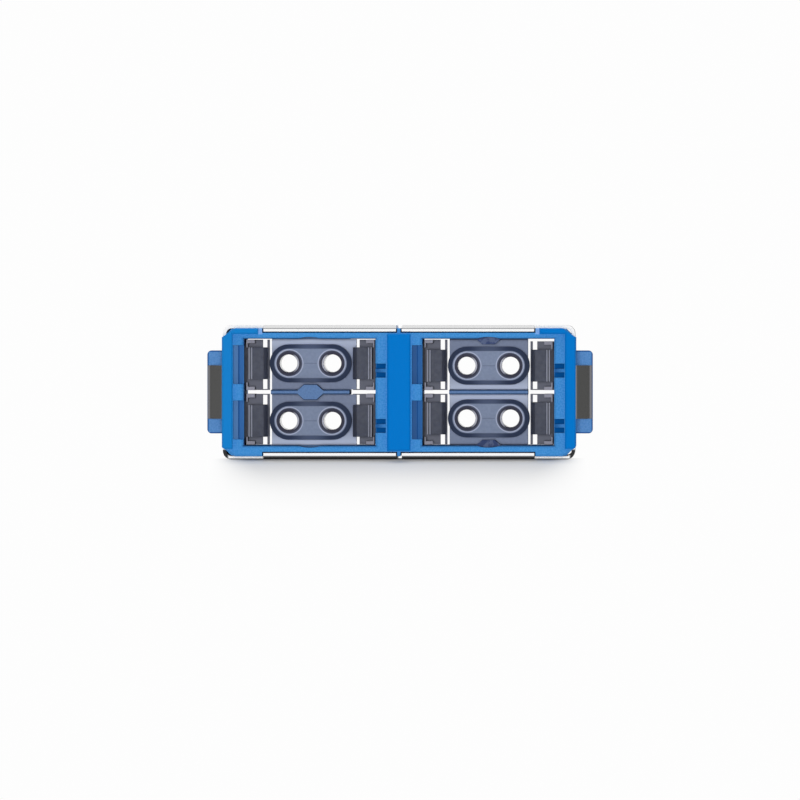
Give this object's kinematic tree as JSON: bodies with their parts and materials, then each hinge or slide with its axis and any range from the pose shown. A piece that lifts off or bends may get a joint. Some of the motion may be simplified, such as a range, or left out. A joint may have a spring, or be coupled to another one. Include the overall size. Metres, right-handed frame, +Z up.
{
  "type": "fibre optic adapter",
  "caption": "Flat rectangular fibre optic adapter with keyed duplex ports in two columns, latch hooks, sleeve bosses, side ears and a sprung sheet clip for a panel cut-out.",
  "frame": {"origin": "middle of the footprint, in the plane of the clip's lower plates that it rests on", "axes": "+X across both port columns, to the right seen from the front; +Y from the front face to the rear; +Z up"},
  "size_m": [0.0274, 0.0252, 0.0095],
  "materials": {
    "blue_plastic": "moulded, satin",
    "slate_plastic": "moulded, satin",
    "dark_plastic": "moulded, satin",
    "spring_steel": "rolled sheet",
    "zirconia": "polished ceramic"
  },
  "bodies": {
    "root": {"housing_front": "blue_plastic", "housing_rear": "blue_plastic", "panel_clip_left": "spring_steel", "panel_clip_right": "spring_steel", "sleeve_holder_front_a": "slate_plastic", "sleeve_holder_rear_a": "slate_plastic", "latch_a_left": "dark_plastic", "sleeve_a_left": "zirconia", "latch_a_right": "dark_plastic", "sleeve_a_right": "zirconia", "sleeve_holder_front_b": "slate_plastic", "sleeve_holder_rear_b": "slate_plastic", "latch_b_left": "dark_plastic", "sleeve_b_left": "zirconia", "latch_b_right": "dark_plastic", "sleeve_b_right": "zirconia", "sleeve_holder_front_c": "slate_plastic", "sleeve_holder_rear_c": "slate_plastic", "latch_c_left": "dark_plastic", "sleeve_c_left": "zirconia", "latch_c_right": "dark_plastic", "sleeve_c_right": "zirconia", "sleeve_holder_front_d": "slate_plastic", "sleeve_holder_rear_d": "slate_plastic", "latch_d_left": "dark_plastic", "sleeve_d_left": "zirconia", "latch_d_right": "dark_plastic", "sleeve_d_right": "zirconia"}
  },
  "joints": []
}
